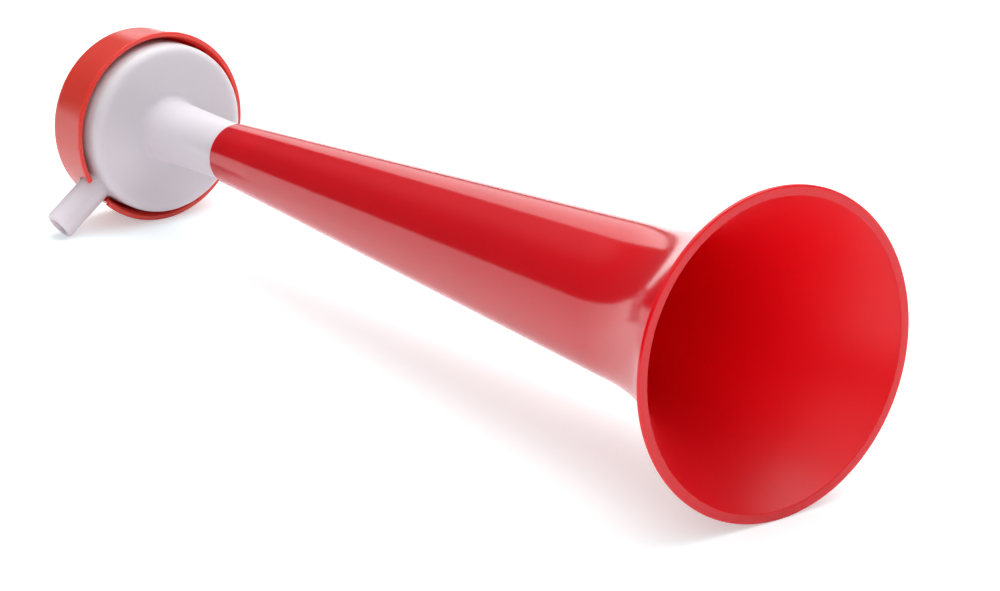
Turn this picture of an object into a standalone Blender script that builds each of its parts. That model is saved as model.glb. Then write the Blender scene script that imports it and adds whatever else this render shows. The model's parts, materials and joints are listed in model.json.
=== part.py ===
"""A red and white plastic horn: a bell pushed on the stem of a blown chamber, with a film and a cap behind it.

The horn lies on its side, on its mouth rim, its cap lip and the end of its blow tube.
Its pieces are turned about one axis, and a place on that axis is a station: the distance
back from the plane of the mouth. Metres, +Z up, +X towards the mouth.
"""

import math

import bmesh
import bpy
import numpy as np

MM = 0.001

# Fits
GAP = 0.3 * MM  # between pieces that touch
SOCKET_CLEARANCE = 0.2 * MM  # bell tail over the stem, where it grips
CAP_CLEARANCE = 0.5 * MM  # cap wall over the chamber's rear edge
NOTCH_CLEARANCE = 0.35 * MM  # cap notch round the blow tube

# Bell
BELL_LENGTH = 295.7 * MM
TAIL_WALL = 0.7 * MM
CONE_MOUTH_RADIUS = 29.8 * MM  # where the straight cone would end without its flare
FLARE_LENGTH = 65.0 * MM
FLARE_MOUTH_RADIUS = 50.8 * MM
FLARE_POWER = 2.1
RIM_RADIUS = 52.5 * MM
RIM_THICKNESS = 1.6 * MM
BELL_WALL = 1.2 * MM
SOCKET_DEPTH = 22.0 * MM
SOCKET_STEP = 2.0 * MM

# Stem, in one moulding with the chamber
STEM_SHOWING = 42.3 * MM
STEM_IN_SOCKET = 20.0 * MM
STEM_FACE_RADIUS = 11.1 * MM
STEM_TAIL_RADIUS = 10.0 * MM
STEM_TIP_RADIUS = 9.6 * MM
STEM_FILLET = 3.0 * MM
STEM_WALL = 1.6 * MM
NOZZLE_RADIUS = 10.5 * MM

# Chamber
DISC_RADIUS = 30.4 * MM
DISC_SHOULDER = 3.3 * MM
DISC_STANDS_OUT = 6.2 * MM  # from the cap's lip to the flat face
CHAMBER_WALL = 1.5 * MM

# Blow tube
TUBE_RADIUS = 5.5 * MM
TUBE_BORE_RADIUS = 3.7 * MM
TUBE_REACH = 51.0 * MM  # from the horn's axis
TUBE_BEHIND_LIP = 5.7 * MM
TUBE_END_ROUND = 1.3 * MM
TUBE_ROOT_FILLET = 0.8 * MM

# Film
FILM_THICKNESS = 0.4 * MM

# Cap
CAP_DEPTH = 20.9 * MM
CAP_WALL = 1.5 * MM
CAP_DRAFT = 0.65 * MM
CAP_CORNER = 2.5 * MM
LIP_PROUD = 1.15 * MM
LIP_WIDTH = 1.6 * MM
LIP_ROUND = 0.5 * MM
LIP_FACE = 1.6 * MM
LEAD_IN = 3.0 * MM
CLAMP_RIB = 1.2 * MM
VENT_RADIUS = 5.0 * MM

# Facets
TURN_STEPS = 64
TUBE_STEPS = 32
ARC_STEPS = 4
FLARE_STEPS = 12
MERGE_DISTANCE = 0.001 * MM
SHARP_EDGE = math.radians(32.0)
SLOPE_REACH = 0.1 * MM  # how far each way a slope is read

# Places along the axis that follow from the sizes above
FACE_STATION = BELL_LENGTH + STEM_SHOWING
LIP_STATION = FACE_STATION + DISC_STANDS_OUT
TUBE_STATION = LIP_STATION + TUBE_BEHIND_LIP
BACK_STATION = LIP_STATION + CAP_DEPTH
CAP_FLOOR = BACK_STATION - CAP_WALL
FILM_STATION = CAP_FLOOR - CLAMP_RIB - GAP - FILM_THICKNESS
CHAMBER_END = FILM_STATION - GAP
STEM_TIP = BELL_LENGTH - STEM_IN_SOCKET

# Radii that follow from the sizes above
SOCKET_RADIUS = STEM_TAIL_RADIUS + SOCKET_CLEARANCE
TAIL_RADIUS = SOCKET_RADIUS + TAIL_WALL
CHAMBER_BORE = DISC_RADIUS - CHAMBER_WALL
CAP_BORE = DISC_RADIUS + CAP_CLEARANCE
CAP_BACK_RADIUS = CAP_BORE + CAP_WALL
CAP_FRONT_RADIUS = CAP_BACK_RADIUS + CAP_DRAFT
LIP_RADIUS = CAP_FRONT_RADIUS + LIP_PROUD


def clear_scene():
    for obj in list(bpy.data.objects):
        bpy.data.objects.remove(obj, do_unlink=True)


def plastic(name, color, roughness):
    material = bpy.data.materials.new(name)
    material.use_nodes = True
    shader = material.node_tree.nodes["Principled BSDF"]
    shader.inputs["Base Color"].default_value = (*color, 1.0)
    shader.inputs["Roughness"].default_value = roughness
    shader.inputs["Metallic"].default_value = 0.0
    return material


def red_bell_plastic():
    return plastic("red_bell_plastic", (0.70, 0.012, 0.02), 0.18)


def red_cap_plastic():
    return plastic("red_cap_plastic", (0.72, 0.03, 0.025), 0.25)


def white_plastic():
    return plastic("white_plastic", (0.86, 0.83, 0.86), 0.35)


def clear_film():
    return plastic("clear_film", (0.90, 0.90, 0.92), 0.15)


def arc(centre_station, centre_radius, size, start, end):
    """Points of a round edge in the profile plane; angle 0 points back along the axis, 90 degrees outwards."""
    return [
        (centre_station + size * math.cos(a), centre_radius + size * math.sin(a))
        for a in np.radians(np.linspace(start, end, ARC_STEPS + 1))
    ]


def turned_mesh(name, profile, steps):
    """A closed profile of (station, radius) points, spun about the X axis with the stations going towards -X."""
    bm = bmesh.new()
    verts = [bm.verts.new((-station, 0.0, radius)) for station, radius in profile]
    edges = [bm.edges.new((a, b)) for a, b in zip(verts, verts[1:] + verts[:1])]
    bmesh.ops.spin(
        bm,
        geom=verts + edges,
        cent=(0.0, 0.0, 0.0),
        axis=(1.0, 0.0, 0.0),
        angle=2.0 * math.pi,
        steps=steps,
        use_merge=True,
    )
    bmesh.ops.remove_doubles(bm, verts=bm.verts, dist=MERGE_DISTANCE)
    bmesh.ops.recalc_face_normals(bm, faces=bm.faces)
    mesh = bpy.data.meshes.new(name)
    bm.to_mesh(mesh)
    bm.free()
    mesh.shade_smooth()
    mesh.set_sharp_from_angle(angle=SHARP_EDGE)
    return mesh


def add_piece(name, mesh, parent, material=None):
    obj = bpy.data.objects.new(name, mesh)
    bpy.context.scene.collection.objects.link(obj)
    obj.parent = parent
    if material:
        mesh.materials.append(material)
    return obj


def add_helper(name, mesh, parent):
    """A shape that only joins or cuts another piece."""
    obj = add_piece(name, mesh, parent)
    obj.display_type = "WIRE"
    obj.hide_render = True
    return obj


def add_boolean(obj, operation, helper):
    modifier = obj.modifiers.new(helper.name, "BOOLEAN")
    modifier.operation = operation
    modifier.solver = "EXACT"
    modifier.object = helper


def cone_radius(station):
    """Outside of the straight cone."""
    return TAIL_RADIUS + (CONE_MOUTH_RADIUS - TAIL_RADIUS) * (1.0 - station / BELL_LENGTH)


def bell_radius(station):
    """Outside of the bell: the straight cone, plus a flare that rises as a power of the way to the mouth."""
    share = max(0.0, 1.0 - station / FLARE_LENGTH)
    return cone_radius(station) + (FLARE_MOUTH_RADIUS - CONE_MOUTH_RADIUS) * share**FLARE_POWER


def inside_wall(station):
    """The point of the bell's inner surface one wall thickness in from the outside at this station."""
    rise = bell_radius(station + SLOPE_REACH) - bell_radius(station - SLOPE_REACH)
    slope = rise / (2.0 * SLOPE_REACH)
    length = math.hypot(1.0, slope)
    return station + BELL_WALL * slope / length, bell_radius(station) - BELL_WALL / length


def bell_profile():
    flare = np.linspace(FLARE_LENGTH, RIM_THICKNESS, FLARE_STEPS)
    socket_end = BELL_LENGTH - SOCKET_DEPTH
    outside = [(BELL_LENGTH, TAIL_RADIUS)] + [(s, bell_radius(s)) for s in flare]
    half = RIM_THICKNESS / 2.0
    rim = arc(half, RIM_RADIUS - half, half, 0.0, 180.0)
    inside = [inside_wall(s) for s in flare[::-1]]
    (near, near_radius), (far, far_radius) = inside[0], inside[1]
    crest = near_radius + near * (near_radius - far_radius) / (far - near)
    socket = [
        inside_wall(socket_end - SOCKET_STEP),
        (socket_end, SOCKET_RADIUS),
        (BELL_LENGTH, SOCKET_RADIUS),
    ]
    return outside + rim + [(0.0, crest)] + inside + socket


def stem_bore_radius(outside_radius):
    return outside_radius - STEM_WALL


def chamber_profile():
    shoulder = arc(
        FACE_STATION + DISC_SHOULDER, DISC_RADIUS - DISC_SHOULDER, DISC_SHOULDER, 180.0, 90.0
    )
    fillet = arc(
        FACE_STATION - STEM_FILLET, STEM_FACE_RADIUS + STEM_FILLET, STEM_FILLET, 270.0, 360.0
    )
    inner_shoulder = arc(
        FACE_STATION + DISC_SHOULDER,
        DISC_RADIUS - DISC_SHOULDER,
        DISC_SHOULDER - CHAMBER_WALL,
        90.0,
        180.0,
    )
    outside = [(STEM_TIP, STEM_TIP_RADIUS), (BELL_LENGTH, STEM_TAIL_RADIUS)]
    rear = [(CHAMBER_END, DISC_RADIUS), (CHAMBER_END, CHAMBER_BORE)]
    nozzle = [
        (FACE_STATION + CHAMBER_WALL, NOZZLE_RADIUS),
        (CHAMBER_END, NOZZLE_RADIUS),
        (CHAMBER_END, stem_bore_radius(NOZZLE_RADIUS)),
        (STEM_TIP, stem_bore_radius(STEM_TIP_RADIUS)),
    ]
    return outside + fillet + shoulder + rear + inner_shoulder + nozzle


def tube_profile(inner_end):
    """The blow tube as a solid rod with its root fillet and rounded end; stations run outwards from the horn's axis."""
    flat = TUBE_RADIUS - TUBE_END_ROUND
    root = arc(
        DISC_RADIUS + TUBE_ROOT_FILLET,
        TUBE_RADIUS + TUBE_ROOT_FILLET,
        TUBE_ROOT_FILLET,
        180.0,
        270.0,
    )
    end = arc(TUBE_REACH - TUBE_END_ROUND, flat, TUBE_END_ROUND, 90.0, 0.0)
    return [(inner_end, 0.0), (inner_end, root[0][1])] + root + end + [(TUBE_REACH, 0.0)]


def cap_profile():
    lip_back = LIP_STATION + LIP_WIDTH
    bore_front = CAP_FRONT_RADIUS - CAP_WALL
    front = arc(LIP_STATION + LIP_ROUND, LIP_RADIUS - LIP_ROUND, LIP_ROUND, 180.0, 90.0)
    back = arc(BACK_STATION - CAP_CORNER, CAP_BACK_RADIUS - CAP_CORNER, CAP_CORNER, 90.0, 0.0)
    inner_corner = arc(
        BACK_STATION - CAP_CORNER,
        CAP_BACK_RADIUS - CAP_CORNER,
        CAP_CORNER - CAP_WALL,
        0.0,
        90.0,
    )
    lip = [(lip_back, LIP_RADIUS), (lip_back, CAP_FRONT_RADIUS)]
    vent = [(BACK_STATION, VENT_RADIUS), (CAP_FLOOR, VENT_RADIUS)]
    rib_outside = CAP_BACK_RADIUS - CAP_CORNER
    rib_inside = CHAMBER_BORE - GAP
    rib = [
        (CAP_FLOOR, rib_inside),
        (CAP_FLOOR - CLAMP_RIB, rib_inside),
        (CAP_FLOOR - CLAMP_RIB, rib_outside),
    ]
    mouth = [(LIP_STATION + LEAD_IN, bore_front), (LIP_STATION, LIP_RADIUS - LIP_FACE)]
    return front + lip + back + vent + rib + inner_corner + mouth


def film_profile():
    film_end = FILM_STATION + FILM_THICKNESS
    return [
        (FILM_STATION, 0.0),
        (FILM_STATION, DISC_RADIUS),
        (film_end, DISC_RADIUS),
        (film_end, 0.0),
    ]


def notch_mesh():
    """A block with a half-round end, long enough to cut the cap's wall from its lip back to the blow tube."""
    width = TUBE_RADIUS + NOTCH_CLEARANCE
    angles = np.linspace(math.pi / 2.0, -math.pi / 2.0, TUBE_STEPS // 2 + 1)
    outline = [(-TUBE_STATION - width * math.cos(a), width * math.sin(a)) for a in angles]
    front = -LIP_STATION + LEAD_IN
    outline += [(front, -width), (front, width)]
    bm = bmesh.new()
    face = bm.faces.new([bm.verts.new((x, y, -CHAMBER_BORE)) for x, y in outline])
    grown = bmesh.ops.extrude_face_region(bm, geom=[face])
    moved = [item for item in grown["geom"] if isinstance(item, bmesh.types.BMVert)]
    bmesh.ops.translate(bm, verts=moved, vec=(0.0, 0.0, CHAMBER_BORE - TUBE_REACH))
    bmesh.ops.recalc_face_normals(bm, faces=bm.faces)
    mesh = bpy.data.meshes.new("cap_notch_cutter")
    bm.to_mesh(mesh)
    bm.free()
    return mesh


def resting_tilt(bell, cap):
    """How steeply the axis climbs to the mouth when the rim and the cap both touch the floor."""
    rim_station, rim_radius = np.array(bell).T
    cap_station, cap_radius = np.array(cap).T
    slopes = (rim_radius[:, None] - cap_radius) / (cap_station - rim_station[:, None])
    return math.atan(slopes.max(axis=0).min())


def axis_height(bell, tilt):
    """Height of the axis above the floor at the plane of the mouth."""
    station, radius = np.array(bell).T
    return (radius * math.cos(tilt) + station * math.sin(tilt)).max()


def tube_drop(height, tilt):
    """Angle below level, about the axis, at which the blow tube's end just meets the floor.

    A tube too short to reach the floor hangs straight down.
    """
    reach = TUBE_REACH - TUBE_END_ROUND
    flat = TUBE_RADIUS - TUBE_END_ROUND
    room = height - TUBE_STATION * math.sin(tilt) - TUBE_END_ROUND
    fall = math.asin(min(1.0, room / math.hypot(reach, flat))) - math.atan2(flat, reach)
    return math.asin(min(1.0, math.sin(fall) / math.cos(tilt)))


def make_bell(parent, profile):
    mesh = turned_mesh("bell", profile, TURN_STEPS)
    return add_piece("bell", mesh, parent, red_bell_plastic())


def make_chamber(parent, drop):
    mesh = turned_mesh("chamber_body", chamber_profile(), TURN_STEPS)
    body = add_piece("chamber_body", mesh, parent, white_plastic())
    root_radius = TUBE_RADIUS + TUBE_ROOT_FILLET
    wall_edge = math.sqrt(DISC_RADIUS**2 - root_radius**2)
    inner_end = (CHAMBER_BORE + wall_edge) / 2.0
    rod = add_helper(
        "blow_tube_form", turned_mesh("blow_tube_form", tube_profile(inner_end), TUBE_STEPS), parent
    )
    bore_start = (NOZZLE_RADIUS + CHAMBER_BORE) / 2.0
    bore_end = TUBE_REACH + TUBE_RADIUS
    bore_outline = [
        (bore_start, 0.0),
        (bore_start, TUBE_BORE_RADIUS),
        (bore_end, TUBE_BORE_RADIUS),
        (bore_end, 0.0),
    ]
    bore = add_helper(
        "blow_bore_cutter", turned_mesh("blow_bore_cutter", bore_outline, TUBE_STEPS), parent
    )
    for helper in (rod, bore):
        helper.location = (-TUBE_STATION, 0.0, 0.0)
        helper.rotation_mode = "ZYX"
        helper.rotation_euler = (drop, 0.0, math.pi / 2.0)
    add_boolean(body, "UNION", rod)
    add_boolean(body, "DIFFERENCE", bore)
    return body


def make_film(parent):
    mesh = turned_mesh("film", film_profile(), TURN_STEPS)
    return add_piece("film", mesh, parent, clear_film())


def make_cap(parent, profile, drop):
    mesh = turned_mesh("cap", profile, TURN_STEPS)
    cap = add_piece("cap", mesh, parent, red_cap_plastic())
    cutter = add_helper("cap_notch_cutter", notch_mesh(), parent)
    cutter.rotation_euler = (drop - math.pi / 2.0, 0.0, 0.0)
    add_boolean(cap, "DIFFERENCE", cutter)
    return cap


def centre_on_floor(axis, pieces):
    """Moves the whole horn so that its box stands on z = 0, centred over the origin."""
    bpy.context.view_layer.update()
    graph = bpy.context.evaluated_depsgraph_get()
    points = []
    for piece in pieces:
        evaluated = piece.evaluated_get(graph)
        mesh = evaluated.to_mesh()
        corners = np.empty(len(mesh.vertices) * 3)
        mesh.vertices.foreach_get("co", corners)
        world = np.array(evaluated.matrix_world)
        points.append(corners.reshape(-1, 3) @ world[:3, :3].T + world[:3, 3])
        evaluated.to_mesh_clear()
    points = np.concatenate(points)
    low, high = points.min(axis=0), points.max(axis=0)
    axis.location.x -= (low[0] + high[0]) / 2.0
    axis.location.y -= (low[1] + high[1]) / 2.0
    axis.location.z -= low[2]
    bpy.context.view_layer.update()


def main():
    clear_scene()
    bell_outline = bell_profile()
    cap_outline = cap_profile()
    tilt = resting_tilt(bell_outline, cap_outline)
    height = axis_height(bell_outline, tilt)
    drop = tube_drop(height, tilt)
    axis = bpy.data.objects.new("horn_axis", None)
    bpy.context.scene.collection.objects.link(axis)
    axis.location = (0.0, 0.0, height)
    axis.rotation_euler = (0.0, -tilt, 0.0)
    pieces = [
        make_bell(axis, bell_outline),
        make_chamber(axis, drop),
        make_film(axis),
        make_cap(axis, cap_outline, drop),
    ]
    centre_on_floor(axis, pieces)


main()
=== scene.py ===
import json

import bmesh
import bpy
import numpy as np
from mathutils import Matrix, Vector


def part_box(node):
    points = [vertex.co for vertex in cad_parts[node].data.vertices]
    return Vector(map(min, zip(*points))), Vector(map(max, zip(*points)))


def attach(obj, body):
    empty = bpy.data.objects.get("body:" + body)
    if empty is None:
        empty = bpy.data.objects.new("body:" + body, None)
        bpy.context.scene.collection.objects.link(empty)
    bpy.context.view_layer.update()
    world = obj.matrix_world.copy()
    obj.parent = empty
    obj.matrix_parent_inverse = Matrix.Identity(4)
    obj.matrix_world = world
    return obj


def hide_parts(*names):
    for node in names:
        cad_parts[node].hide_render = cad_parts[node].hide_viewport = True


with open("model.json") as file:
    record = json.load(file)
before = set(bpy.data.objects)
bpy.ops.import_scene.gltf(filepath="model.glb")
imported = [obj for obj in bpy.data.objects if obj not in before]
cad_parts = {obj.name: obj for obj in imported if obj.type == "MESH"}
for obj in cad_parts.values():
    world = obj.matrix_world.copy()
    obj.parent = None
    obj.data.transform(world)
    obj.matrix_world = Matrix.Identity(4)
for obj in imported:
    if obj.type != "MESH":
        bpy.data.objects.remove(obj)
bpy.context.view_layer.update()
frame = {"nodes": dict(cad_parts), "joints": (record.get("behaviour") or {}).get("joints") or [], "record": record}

mm = 0.001
turnSides = 192  # points round a turned piece
tubeSides = 96  # points round the blow tube and its bore
cornerSteps = 9  # points along a rounded corner
shortestStep = 0.002 * mm  # an outline point nearer than this to the one before is left out
mergeDistance = 0.001 * mm
sharpAngle = 34.0  # degrees between two faces from which their edge stays sharp


# The horn's own axis runs through the middle of the film, along the joint that the bell slides on.
# A station is the distance back along it from the plane of the mouth, in millimetres.
def hornPlace():
    joints = {joint["name"]: joint for joint in frame["joints"]}
    forward = np.array(joints["bell_pull"]["axis"], float)
    forward /= np.linalg.norm(forward)
    low, high = (np.array(corner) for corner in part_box("film"))
    onAxis = (low + high) / 2.0
    bellMesh = frame["nodes"]["bell"].data
    bellPoints = np.empty(len(bellMesh.vertices) * 3)
    bellMesh.vertices.foreach_get("co", bellPoints)
    reach = (bellPoints.reshape(-1, 3) @ forward).max() - onAxis @ forward
    side = np.array((0.0, 1.0, 0.0))
    return {
        "origin": onAxis + forward * reach,
        "forward": forward,
        "side": side,
        "upward": np.cross(forward, side),
    }


horn = hornPlace()
tubeStation = 349.9  # where the blow tube's own axis meets the horn's


# The blow tube runs from the axis through the middle of its own bore's opening in the record.
# Its side lies along the horn's axis, and its forward points back at that axis.
def blowTubePlace():
    boxes = {opening["name"]: opening["box_m"] for opening in frame["record"]["physics"]["openings"]}
    middle = np.array(boxes["blow_tube_bore"]).mean(axis=0)
    origin = horn["origin"] - horn["forward"] * tubeStation * mm
    outward = middle - origin
    outward -= horn["forward"] * (outward @ horn["forward"])
    outward /= np.linalg.norm(outward)
    return {
        "origin": origin,
        "forward": -outward,
        "side": horn["forward"],
        "upward": np.cross(-outward, horn["forward"]),
    }


blowTube = blowTubePlace()
print("horn axis and blow tube found in the frame")


# Local (x, y, z) to the shared frame: origin + x forward + y side + z upward, for all points at once.
def placed(points, place):
    basis = np.stack([place["forward"], place["side"], place["upward"]])
    return points @ basis + place["origin"]


# A smooth run of outline points, as corners (station, radius, rounding) with no rounding.
def smoothRun(station, radius):
    return np.stack([station, radius, np.zeros(len(station))], axis=1)


# Each corner is (station, radius, rounding). A rounded corner is the quadratic curve
# (1-u)^2 start + 2u(1-u) corner + u^2 end, with start and end one tangent length from the corner,
# and the tangent length is rounding / tan(half the angle between the corner's two sides).
def roundedOutline(corners):
    data = np.array(corners, float) * mm
    point, rounding = data[:, :2], data[:, 2]
    toPrevious = np.roll(point, 1, axis=0) - point
    toNext = np.roll(point, -1, axis=0) - point
    toPrevious /= np.linalg.norm(toPrevious, axis=1, keepdims=True)
    toNext /= np.linalg.norm(toNext, axis=1, keepdims=True)
    halfAngle = np.arccos(np.clip((toPrevious * toNext).sum(axis=1), -1.0, 1.0)) / 2.0
    reach = (rounding / np.tan(halfAngle))[:, None]
    u = np.linspace(0.0, 1.0, cornerSteps)[None, :, None]
    start = (point + toPrevious * reach)[:, None]
    end = (point + toNext * reach)[:, None]
    curve = (1.0 - u) ** 2 * start + 2.0 * u * (1.0 - u) * point[:, None] + u**2 * end
    outline = curve.reshape(-1, 2)
    step = np.linalg.norm(outline - np.roll(outline, 1, axis=0), axis=1)
    return outline[step > shortestStep]


# Makes the object, with doubled points merged and faces turned outwards.
def addPiece(name, points, faces):
    mesh = bpy.data.meshes.new(name)
    mesh.from_pydata(points, [], faces)
    work = bmesh.new()
    work.from_mesh(mesh)
    bmesh.ops.remove_doubles(work, verts=work.verts, dist=mergeDistance)
    bmesh.ops.recalc_face_normals(work, faces=work.faces)
    work.to_mesh(mesh)
    work.free()
    piece = bpy.data.objects.new(name, mesh)
    bpy.context.scene.collection.objects.link(piece)
    return piece


# A closed outline turned round an axis: the grid point for outline point (s, r) and angle a
# is (-s, r sin a, r cos a), and neighbours in the grid make the faces.
def turnedPiece(name, outline, place, sides=turnSides):
    angle = np.linspace(0.0, 2.0 * np.pi, sides, endpoint=False)
    station, radius = outline.T
    grid = np.stack(
        [
            np.repeat(-station, sides),
            np.outer(radius, np.sin(angle)).ravel(),
            np.outer(radius, np.cos(angle)).ravel(),
        ],
        axis=1,
    )
    row = np.arange(len(outline))[:, None]
    column = np.arange(sides)[None, :]
    nextRow = (row + 1) % len(outline) * sides
    nextColumn = (column + 1) % sides
    row = row * sides
    faces = np.stack([row + column, row + nextColumn, nextRow + nextColumn, nextRow + column], axis=-1)
    return addPiece(name, placed(grid, place), faces.reshape(-1, 4).tolist())


# Joins or cuts a piece with a helper solid, writes the result into its mesh and removes the helper.
def combine(piece, operation, helper):
    step = piece.modifiers.new("combine", "BOOLEAN")
    step.operation = operation
    step.solver = "EXACT"
    step.object = helper
    bpy.context.view_layer.update()
    result = bpy.data.meshes.new_from_object(piece.evaluated_get(bpy.context.evaluated_depsgraph_get()))
    piece.modifiers.clear()
    piece.data = result
    result.name = piece.name
    bpy.data.objects.remove(helper)


# Smooth shading whose normals follow the broad faces, so that rounded edges stay crisp.
# Then the piece goes on its body, in place of its CAD node.
def finishPiece(piece, body, node, material):
    piece.data.materials.clear()
    piece.data.materials.append(material)
    piece.data.shade_smooth()
    piece.data.set_sharp_from_angle(angle=np.radians(sharpAngle))
    normals = piece.modifiers.new("broadNormals", "WEIGHTED_NORMAL")
    normals.keep_sharp = True
    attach(piece, body)
    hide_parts(node)
    print("made", piece.name, len(piece.data.polygons), "faces")


# What all the moulded plastics share. Each piece's own look gives the rest, with its sizes in millimetres.
moulding = {
    "refraction": 1.49,
    "tintDetail": 3.0,
    "roughnessShares": (0.85, 1.2),  # of the look's roughness, between which it wanders
    "roughnessCloud": 0.4,  # of the tint's cloud size
    "roughnessDetail": 4.0,
    "waveDetail": 1.0,
    "grainSize": 0.9,
    "grainDetail": 2.0,
}


# A mix of two colours. In its colour mode the Mix node's colours are inputs 6 and 7, its share is
# input 0 and its result is output 2.
def colourMix(nodes, colour, otherColour):
    mix = nodes.new("ShaderNodeMix")
    mix.data_type = "RGBA"
    mix.inputs[6].default_value = (*colour, 1.0)
    mix.inputs[7].default_value = (*otherColour, 1.0)
    return mix.inputs[0], mix.outputs[2]


# Moulded plastic: two close tints in soft clouds, a roughness that wanders a little,
# and a bump of fine moulding grain over a long shallow waviness.
def mouldedPlastic(name, look):
    material = bpy.data.materials.new(name)
    material.use_nodes = True
    nodes, links = material.node_tree.nodes, material.node_tree.links
    shader = nodes["Principled BSDF"]
    shader.inputs["IOR"].default_value = moulding["refraction"]
    shader.inputs["Subsurface Weight"].default_value = look["depth"]
    shader.inputs["Subsurface Radius"].default_value = look["depthRadius"]
    shader.inputs["Subsurface Scale"].default_value = look["depthScale"] * mm
    place = nodes.new("ShaderNodeTexCoord").outputs["Object"]

    def noise(size, detail):
        texture = nodes.new("ShaderNodeTexNoise")
        texture.inputs["Scale"].default_value = 1.0 / (size * mm)
        texture.inputs["Detail"].default_value = detail
        links.new(place, texture.inputs["Vector"])
        return texture.outputs["Fac"]

    def bump(height, size, detail):
        relief = nodes.new("ShaderNodeBump")
        relief.inputs["Strength"].default_value = 1.0
        relief.inputs["Distance"].default_value = height * mm
        links.new(noise(size, detail), relief.inputs["Height"])
        return relief

    share, tint = colourMix(nodes, look["colour"], look["otherColour"])
    links.new(noise(look["cloud"], moulding["tintDetail"]), share)
    links.new(tint, shader.inputs["Base Color"])

    lowShare, highShare = moulding["roughnessShares"]
    shine = nodes.new("ShaderNodeMapRange")
    shine.inputs["To Min"].default_value = look["roughness"] * lowShare
    shine.inputs["To Max"].default_value = look["roughness"] * highShare
    shineCloud = look["cloud"] * moulding["roughnessCloud"]
    links.new(noise(shineCloud, moulding["roughnessDetail"]), shine.inputs["Value"])
    links.new(shine.outputs["Result"], shader.inputs["Roughness"])

    waves = bump(look["waviness"], look["waveSize"], moulding["waveDetail"])
    grain = bump(look["grain"], moulding["grainSize"], moulding["grainDetail"])
    links.new(waves.outputs["Normal"], grain.inputs["Normal"])
    links.new(grain.outputs["Normal"], shader.inputs["Normal"])
    return material


bell = {
    "length": 295.7,
    "tailRadius": 10.9,
    "tailRound": 0.15,
    "coneMouthRadius": 29.8,  # where the straight cone would end without its flare
    "flareLength": 65.0,
    "flareMouthRadius": 50.8,
    "flarePower": 2.1,
    "rimRadius": 52.5,
    "rimThickness": 1.6,
    "rimBackShare": 0.9,  # roundings of the rim's two edges, as shares of half its thickness
    "rimFrontShare": 0.95,
    "crestRound": 0.52,  # between the flared inside and the flat ring
    "wall": 1.2,
    "slopeReach": 0.1,  # how far each way the outside's slope is read
    "socketRadius": 10.2,
    "socketDepth": 22.0,
    "socketStep": 2.0,  # how far before the socket's floor the cone's inside ends
    "socketFloorRound": 0.2,
    "socketMouthRound": 0.1,
    "rings": 70,
    "ringCrowding": 1.8,  # above 1, the rings lie closer together towards the mouth
    "ringShare": 0.05,  # how far a face has to turn towards the axis to count as inside
    "insideRoughness": 0.42,  # the core side of the mould is satin
    "look": {
        "colour": (0.660, 0.0030, 0.0110),
        "otherColour": (0.620, 0.0020, 0.0090),
        "cloud": 60.0,
        "roughness": 0.13,
        "waviness": 0.05,
        "waveSize": 26.0,
        "grain": 0.0016,
        "depth": 0.85,
        "depthRadius": (1.0, 0.04, 0.04),
        "depthScale": 5.0,
    },
}


# Outside radius: a straight line from tail to mouth, plus a flare that rises as a power
# of the way to the mouth.
def bellRadius(station):
    coneRise = bell["coneMouthRadius"] - bell["tailRadius"]
    cone = bell["tailRadius"] + coneRise * (1.0 - station / bell["length"])
    share = np.clip(1.0 - station / bell["flareLength"], 0.0, None)
    return cone + (bell["flareMouthRadius"] - bell["coneMouthRadius"]) * share ** bell["flarePower"]


# The inner surface lies one wall in from the outer one, square to it.
def bellInside(station):
    nudge = bell["slopeReach"]
    slope = (bellRadius(station + nudge) - bellRadius(station - nudge)) / (2.0 * nudge)
    length = np.hypot(1.0, slope)
    return station + bell["wall"] * slope / length, bellRadius(station) - bell["wall"] / length


# The outline goes up the outside from tail to rim, round the rim to the crest, where the inside's last
# slope meets the plane of the mouth, and down the inside to the socket. A ring's station is
# rim + length * share^crowding, with share evenly spaced from 1 to 0.
def makeBell():
    rim = bell["rimThickness"]
    half = rim / 2.0
    socketEnd = bell["length"] - bell["socketDepth"]
    crowded = np.linspace(1.0, 0.0, bell["rings"]) ** bell["ringCrowding"]
    outer = rim + (bell["length"] - rim) * crowded[1:]
    inner = rim + (socketEnd - bell["socketStep"] - rim) * crowded[::-1]
    insideStation, insideRadius = bellInside(inner)
    nearSlope = (insideRadius[0] - insideRadius[1]) / (insideStation[1] - insideStation[0])
    crestRadius = insideRadius[0] + insideStation[0] * nearSlope
    corners = [
        (bell["length"], bell["tailRadius"], bell["tailRound"]),
        *smoothRun(outer, bellRadius(outer)),
        (rim, bell["rimRadius"], half * bell["rimBackShare"]),
        (0.0, bell["rimRadius"], half * bell["rimFrontShare"]),
        (0.0, crestRadius, bell["crestRound"]),
        *smoothRun(insideStation, insideRadius),
        (socketEnd, bell["socketRadius"], bell["socketFloorRound"]),
        (bell["length"], bell["socketRadius"], bell["socketMouthRound"]),
    ]
    piece = turnedPiece("bellShell", roundedOutline(corners), horn)
    finishPiece(piece, "bell", "bell", mouldedPlastic("bellRed", bell["look"]))
    insideLook = dict(bell["look"], roughness=bell["insideRoughness"])
    piece.data.materials.append(mouldedPlastic("bellRedInside", insideLook))
    piece.data.polygons.foreach_set("material_index", facesInwards(piece).astype(np.int32))


# A face is inside where normal . (middle - nearest point of the axis) is below minus ringShare times
# that distance. The flat ring is left out, because its normal runs along the axis.
def facesInwards(piece):
    count = len(piece.data.polygons)
    normal, middle = np.empty(count * 3), np.empty(count * 3)
    piece.data.polygons.foreach_get("normal", normal)
    piece.data.polygons.foreach_get("center", middle)
    normal, offset = normal.reshape(-1, 3), middle.reshape(-1, 3) - horn["origin"]
    offset -= np.outer(offset @ horn["forward"], horn["forward"])
    return (normal * offset).sum(axis=1) < -bell["ringShare"] * np.linalg.norm(offset, axis=1)


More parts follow.
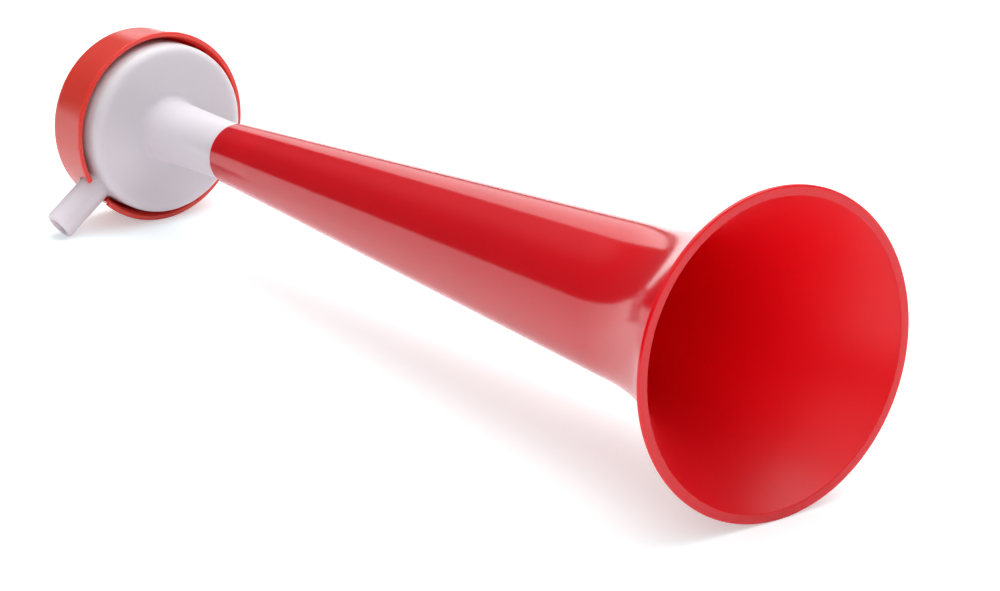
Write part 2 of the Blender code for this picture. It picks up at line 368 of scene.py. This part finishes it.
chamber = {
    "stemTip": 275.7,
    "stemTipRadius": 9.6,
    "tailStation": 295.7,  # where the bell's tail ends on the stem
    "stemTailRadius": 10.0,
    "stemFaceRadius": 11.1,
    "stemFillet": 3.4,
    "stemWall": 1.6,
    "edgeRound": 0.3,  # of the stem's tip and the nozzle's end, outside and inside
    "face": 338.0,
    "discRadius": 30.4,
    "shoulder": 4.2,
    "end": 361.4,
    "endRound": 0.25,
    "endRoundInside": 0.2,
    "wall": 1.5,
    "nozzleRadius": 10.5,
    "nozzleFillet": 0.6,
    "tubeRadius": 5.5,
    "tubeBore": 3.7,
    "tubeReach": 51.0,
    "tubeEndRound": 1.5,
    "tubeRootFillet": 0.8,
    "tubeRootShare": 0.9,  # of the root fillet's width, rounded off
    "tubeRootSink": 0.05,  # the root starts this far inside the disc's radius
    "look": {
        "colour": (0.790, 0.712, 0.785),
        "otherColour": (0.765, 0.688, 0.765),
        "cloud": 30.0,
        "roughness": 0.36,
        "waviness": 0.03,
        "waveSize": 14.0,
        "grain": 0.0035,
        "depth": 0.85,
        "depthRadius": (1.0, 0.85, 0.9),
        "depthScale": 7.0,
    },
}


# The outline goes down the outside from the stem's tip over the disc to the rear edge, back up the inside
# to the disc's wall, out along the nozzle and through the bore to the tip again.
def chamberTurned():
    bore = chamber["discRadius"] - chamber["wall"]
    floor = chamber["face"] + chamber["wall"]
    corners = [
        (chamber["stemTip"], chamber["stemTipRadius"], chamber["edgeRound"]),
        (chamber["tailStation"], chamber["stemTailRadius"], 0.0),
        (chamber["face"], chamber["stemFaceRadius"], chamber["stemFillet"]),
        (chamber["face"], chamber["discRadius"], chamber["shoulder"]),
        (chamber["end"], chamber["discRadius"], chamber["endRound"]),
        (chamber["end"], bore, chamber["endRoundInside"]),
        (floor, bore, chamber["shoulder"] - chamber["wall"]),
        (floor, chamber["nozzleRadius"], chamber["nozzleFillet"]),
        (chamber["end"], chamber["nozzleRadius"], chamber["edgeRound"]),
        (chamber["end"], chamber["nozzleRadius"] - chamber["stemWall"], chamber["edgeRound"]),
        (chamber["stemTip"], chamber["stemTipRadius"] - chamber["stemWall"], chamber["edgeRound"]),
    ]
    return turnedPiece("chamberBody", roundedOutline(corners), horn)


# The blow tube as a solid rod. It starts halfway through the disc's wall, between the bore and the
# depth sqrt(disc^2 - root^2) at which the root's whole width lies in the disc.
def tubeRod():
    bore = chamber["discRadius"] - chamber["wall"]
    rootRadius = chamber["tubeRadius"] + chamber["tubeRootFillet"]
    inner = (bore + np.sqrt(chamber["discRadius"] ** 2 - rootRadius**2)) / 2.0
    rootRound = chamber["tubeRootFillet"] * chamber["tubeRootShare"]
    corners = [
        (inner, 0.0, 0.0),
        (inner, rootRadius, 0.0),
        (chamber["discRadius"] - chamber["tubeRootSink"], rootRadius, 0.0),
        (chamber["discRadius"], chamber["tubeRadius"], rootRound),
        (chamber["tubeReach"], chamber["tubeRadius"], chamber["tubeEndRound"]),
        (chamber["tubeReach"], 0.0, 0.0),
    ]
    return turnedPiece("tubeRod", roundedOutline(corners), blowTube, tubeSides)


# The tube's bore as a solid rod, from halfway between nozzle and wall out past the tube's end.
def tubeHole():
    bore = chamber["discRadius"] - chamber["wall"]
    start = (chamber["nozzleRadius"] + bore) / 2.0
    end = chamber["tubeReach"] + chamber["tubeRadius"]
    corners = [
        (start, 0.0, 0.0),
        (start, chamber["tubeBore"], 0.0),
        (end, chamber["tubeBore"], 0.0),
        (end, 0.0, 0.0),
    ]
    return turnedPiece("tubeHole", roundedOutline(corners), blowTube, tubeSides)


# The turned body, joined with the tube's rod and then bored out.
def makeChamber():
    piece = chamberTurned()
    combine(piece, "UNION", tubeRod())
    combine(piece, "DIFFERENCE", tubeHole())
    white = mouldedPlastic("chamberWhite", chamber["look"])
    finishPiece(piece, "chamber", "chamber_body", white)


film = {
    "front": 361.7,
    "thickness": 0.4,
    "radius": 30.4,
    "edgeRound": 0.1,
    "look": {
        "colour": (0.86, 0.86, 0.88),
        "otherColour": (0.82, 0.82, 0.85),
        "cloud": 22.0,
        "roughness": 0.16,
        "waviness": 0.12,
        "waveSize": 12.0,
        "grain": 0.001,
        "depth": 0.5,
        "depthRadius": (1.0, 1.0, 1.0),
        "depthScale": 1.0,
    },
}


# A flat disc, turned from a rectangle that reaches from the axis to the film's radius.
def makeFilm():
    back = film["front"] + film["thickness"]
    corners = [
        (film["front"], 0.0, 0.0),
        (film["front"], film["radius"], film["edgeRound"]),
        (back, film["radius"], film["edgeRound"]),
        (back, 0.0, 0.0),
    ]
    piece = turnedPiece("soundFilm", roundedOutline(corners), horn)
    finishPiece(piece, "film", "film", mouldedPlastic("filmClear", film["look"]))


cap = {
    "lip": 344.2,
    "lipWidth": 1.6,
    "lipRadius": 34.2,
    "lipRound": 0.6,
    "lipBackRound": 0.35,
    "lipFillet": 0.25,  # where the lip meets the wall
    "lipFace": 1.6,
    "lipInnerRound": 0.3,
    "frontRadius": 33.05,
    "backRadius": 32.4,
    "back": 365.1,
    "corner": 2.6,
    "innerCorner": 0.9,
    "wall": 1.5,
    "leadIn": 3.0,
    "leadInRound": 0.4,
    "rib": 1.2,
    "ribRadius": 28.6,
    "ribRound": 0.2,
    "ribFillet": 0.15,
    "grooveFillet": 0.1,
    "vent": 5.0,
    "ventRound": 0.4,
    "ventInnerRound": 0.3,
    "notchHalfWidth": 5.85,
    "notchSteps": 49,  # points round the notch's half-round end
    "notchPastLip": 5.0,  # how far the notch's block reaches past the lip, forwards
    "notchPastWall": 6.0,  # and outwards
    "look": {
        "colour": (0.700, 0.048, 0.030),
        "otherColour": (0.670, 0.040, 0.026),
        "cloud": 35.0,
        "roughness": 0.24,
        "waviness": 0.04,
        "waveSize": 16.0,
        "grain": 0.003,
        "depth": 0.7,
        "depthRadius": (1.0, 0.12, 0.08),
        "depthScale": 4.0,
    },
}


# The notch is a block with a half-round end: (x, y) = (-station - w cos a, w sin a) round the blow tube,
# carried straight forward past the lip, and extruded outwards along the tube.
def notchBlock():
    width = cap["notchHalfWidth"]
    front = cap["notchPastLip"] - cap["lip"]
    angle = np.linspace(0.5 * np.pi, -0.5 * np.pi, cap["notchSteps"])
    along = np.concatenate([-tubeStation - width * np.cos(angle), [front, front]])
    across = np.concatenate([width * np.sin(angle), [-width, width]])
    count = len(along)
    depth = np.repeat([cap["ribRadius"], cap["lipRadius"] + cap["notchPastWall"]], count)
    local = np.stack([np.tile(along, 2), np.tile(across, 2), depth], axis=1) * mm
    place = {
        "origin": horn["origin"],
        "forward": horn["forward"],
        "side": blowTube["upward"],
        "upward": -blowTube["forward"],
    }
    ring = np.arange(count)
    after = (ring + 1) % count
    sides = np.stack([ring, after, after + count, ring + count], axis=1).tolist()
    ends = [ring.tolist(), (ring + count).tolist()]
    return addPiece("notchBlock", placed(local, place), sides + ends)


# The outline goes round the lip, down the wall to the back, in to the vent hole, through it and up
# inside over the clamping rib and its groove to the lip again. The notch is cut afterwards.
def makeCap():
    lipBack = cap["lip"] + cap["lipWidth"]
    bore = cap["frontRadius"] - cap["wall"]
    floor = cap["back"] - cap["wall"]
    ribEnd = floor - cap["rib"]
    groove = cap["backRadius"] - cap["corner"]
    corners = [
        (cap["lip"], cap["lipRadius"], cap["lipRound"]),
        (lipBack, cap["lipRadius"], cap["lipBackRound"]),
        (lipBack, cap["frontRadius"], cap["lipFillet"]),
        (cap["back"], cap["backRadius"], cap["corner"]),
        (cap["back"], cap["vent"], cap["ventRound"]),
        (floor, cap["vent"], cap["ventInnerRound"]),
        (floor, cap["ribRadius"], cap["ribFillet"]),
        (ribEnd, cap["ribRadius"], cap["ribRound"]),
        (ribEnd, groove, cap["ribRound"]),
        (floor, groove, cap["grooveFillet"]),
        (floor, cap["backRadius"] - cap["wall"], cap["innerCorner"]),
        (cap["lip"] + cap["leadIn"], bore, cap["leadInRound"]),
        (cap["lip"], cap["lipRadius"] - cap["lipFace"], cap["lipInnerRound"]),
    ]
    piece = turnedPiece("capDrum", roundedOutline(corners), horn)
    combine(piece, "DIFFERENCE", notchBlock())
    finishPiece(piece, "cap", "cap", mouldedPlastic("capRed", cap["look"]))


# The columns of the matrix are the directions to a camera's or lamp's right, top and back, and its place.
def standing(right, upward, backward, spot):
    matrix = np.eye(4)
    matrix[:3] = np.stack([right, upward, backward, spot], axis=1)
    return Matrix(matrix.tolist())


view = {
    "frameWidth": 1000.0,  # pixels
    "lensInPixels": 4722.0,
    "sensorWidth": 36.0,  # millimetres
    "heading": 53.66,  # from +X to the picture's right, in degrees
    "tiltDown": 20.14,
    "mouthAt": (83.0, 18.1, 1414.6),  # the mouth's centre, right, down and away, in millimetres
    "farthestSeen": 50.0,  # metres
}


# The picture's right is level, (cos h, sin h, 0), and its way forward is the level (-sin h, cos h, 0)
# tilted down. The camera stands where the mouth's centre then lies at mouthAt.
def addCamera():
    heading, tilt = np.radians(view["heading"]), np.radians(view["tiltDown"])
    right = np.array((np.cos(heading), np.sin(heading), 0.0))
    level = np.array((-np.sin(heading), np.cos(heading), 0.0))
    forward = level * np.cos(tilt) - np.array((0.0, 0.0, np.sin(tilt)))
    upward = np.cross(right, forward)
    rightward, down, away = view["mouthAt"]
    spot = horn["origin"] - (right * rightward - upward * down + forward * away) * mm
    data = bpy.data.cameras.new("camera")
    data.sensor_width = view["sensorWidth"]
    data.lens = view["lensInPixels"] / view["frameWidth"] * data.sensor_width
    data.clip_end = view["farthestSeen"]
    camera = bpy.data.objects.new("camera", data)
    bpy.context.scene.collection.objects.link(camera)
    camera.matrix_world = standing(right, upward, -forward, spot)
    bpy.context.scene.camera = camera
    print("camera placed")


studio = {
    "floorColour": (0.88, 0.865, 0.885),
    "floorSeenColour": (0.740, 0.855, 0.868),  # takes the red bounce out of the shadows
    "floorRoughness": 0.9,
    "floorShine": 0.1,
    "floorGlow": 0.38,  # only where the camera or a gloss sees it
    "floorHalf": (3.2, 2.6),
    "fade": (0.6, 1.4),  # metres from the horn over which the floor turns plain white
    "wallLevel": 0.10,  # the room at eye level
    "ceilingLevel": 0.95,
    "wallToCeiling": (0.35, 0.85),  # heights of a direction, as a sine, where wall turns into ceiling
    "lamps": {
        # name: (place, aimed at, width, depth, watts, seen in reflections)
        "overhead": ((-0.15, 0.30, 1.10), (0.0, 0.0, 0.0), 1.6, 0.8, 9.5, True),
        "backCard": ((-0.75, 1.05, 0.66), (0.0, 0.0, 0.05), 1.8, 1.0, 7.0, True),
        "frontFill": ((1.10, -0.95, 0.55), (0.02, 0.0, 0.05), 1.2, 1.0, 7.5, False),
    },
}


# A smooth step from the low to the high level while the input goes from the near to the far place.
def smoothStep(nodes, places, levels):
    step = nodes.new("ShaderNodeMapRange")
    step.interpolation_type = "SMOOTHSTEP"
    step.inputs["From Min"].default_value, step.inputs["From Max"].default_value = places
    step.inputs["To Min"].default_value, step.inputs["To Max"].default_value = levels
    return step


# Nearly white, with a glow of fade(distance from the horn) * max(camera ray, glossy ray).
def floorWhite():
    material = bpy.data.materials.new("floorWhite")
    material.use_nodes = True
    nodes, links = material.node_tree.nodes, material.node_tree.links
    shader = nodes["Principled BSDF"]
    shader.inputs["Roughness"].default_value = studio["floorRoughness"]
    shader.inputs["Specular IOR Level"].default_value = studio["floorShine"]
    shader.inputs["Emission Color"].default_value = (1.0, 1.0, 1.0, 1.0)
    path = nodes.new("ShaderNodeLightPath")
    share, paint = colourMix(nodes, studio["floorColour"], studio["floorSeenColour"])
    links.new(path.outputs["Is Camera Ray"], share)
    links.new(paint, shader.inputs["Base Color"])
    distance = nodes.new("ShaderNodeVectorMath")
    distance.operation = "LENGTH"
    links.new(nodes.new("ShaderNodeTexCoord").outputs["Object"], distance.inputs[0])
    fade = smoothStep(nodes, studio["fade"], (studio["floorGlow"], 1.0))
    links.new(distance.outputs["Value"], fade.inputs["Value"])
    seen = nodes.new("ShaderNodeMath")
    seen.operation = "MAXIMUM"
    links.new(path.outputs["Is Camera Ray"], seen.inputs[0])
    links.new(path.outputs["Is Glossy Ray"], seen.inputs[1])
    glow = nodes.new("ShaderNodeMath")
    glow.operation = "MULTIPLY"
    links.new(seen.outputs[0], glow.inputs[0])
    links.new(fade.outputs["Result"], glow.inputs[1])
    links.new(glow.outputs[0], shader.inputs["Emission Strength"])
    return material


# The floor is a flat rectangle at z = 0, centred under the horn.
def addFloor():
    corners = np.array([(-1.0, -1.0, 0.0), (1.0, -1.0, 0.0), (1.0, 1.0, 0.0), (-1.0, 1.0, 0.0)])
    floor = addPiece("floor", corners * (*studio["floorHalf"], 1.0), [(0, 1, 2, 3)])
    floor.data.materials.append(floorWhite())


# The room's light goes from wall to ceiling with the height of the direction that is looked in.
# The camera itself sees plain white. In its float mode the Mix node's values are inputs 2 and 3.
def addRoom():
    world = bpy.data.worlds.new("studio")
    world.use_nodes = True
    bpy.context.scene.world = world
    nodes, links = world.node_tree.nodes, world.node_tree.links
    direction = nodes.new("ShaderNodeSeparateXYZ")
    links.new(nodes.new("ShaderNodeTexCoord").outputs["Generated"], direction.inputs[0])
    room = smoothStep(nodes, studio["wallToCeiling"], (studio["wallLevel"], studio["ceilingLevel"]))
    links.new(direction.outputs["Z"], room.inputs["Value"])
    level = nodes.new("ShaderNodeMix")
    level.data_type = "FLOAT"
    links.new(room.outputs["Result"], level.inputs[2])
    level.inputs[3].default_value = 1.0
    links.new(nodes.new("ShaderNodeLightPath").outputs["Is Camera Ray"], level.inputs[0])
    links.new(level.outputs[0], nodes["Background"].inputs["Strength"])
    nodes["Background"].inputs["Color"].default_value = (1.0, 1.0, 1.0, 1.0)


# Each lamp is a level-edged rectangle that faces its target: away = (spot - target) / its length,
# across = up x away / its length, and the third side is away x across.
def addLamps():
    for name, (spot, target, width, depth, watts, mirrored) in studio["lamps"].items():
        data = bpy.data.lights.new(name, "AREA")
        data.shape = "RECTANGLE"
        data.size = width
        data.size_y = depth
        data.energy = watts
        lamp = bpy.data.objects.new(name, data)
        lamp.visible_glossy = mirrored
        bpy.context.scene.collection.objects.link(lamp)
        away = np.array(spot) - np.array(target)
        away /= np.linalg.norm(away)
        across = np.cross((0.0, 0.0, 1.0), away)
        across /= np.linalg.norm(across)
        lamp.matrix_world = standing(across, np.cross(away, across), away, spot)


addCamera()
makeBell()
makeChamber()
makeFilm()
makeCap()
addFloor()
addRoom()
addLamps()
bpy.context.scene.view_settings.view_transform = "Standard"
print("floor, room and lamps set up")
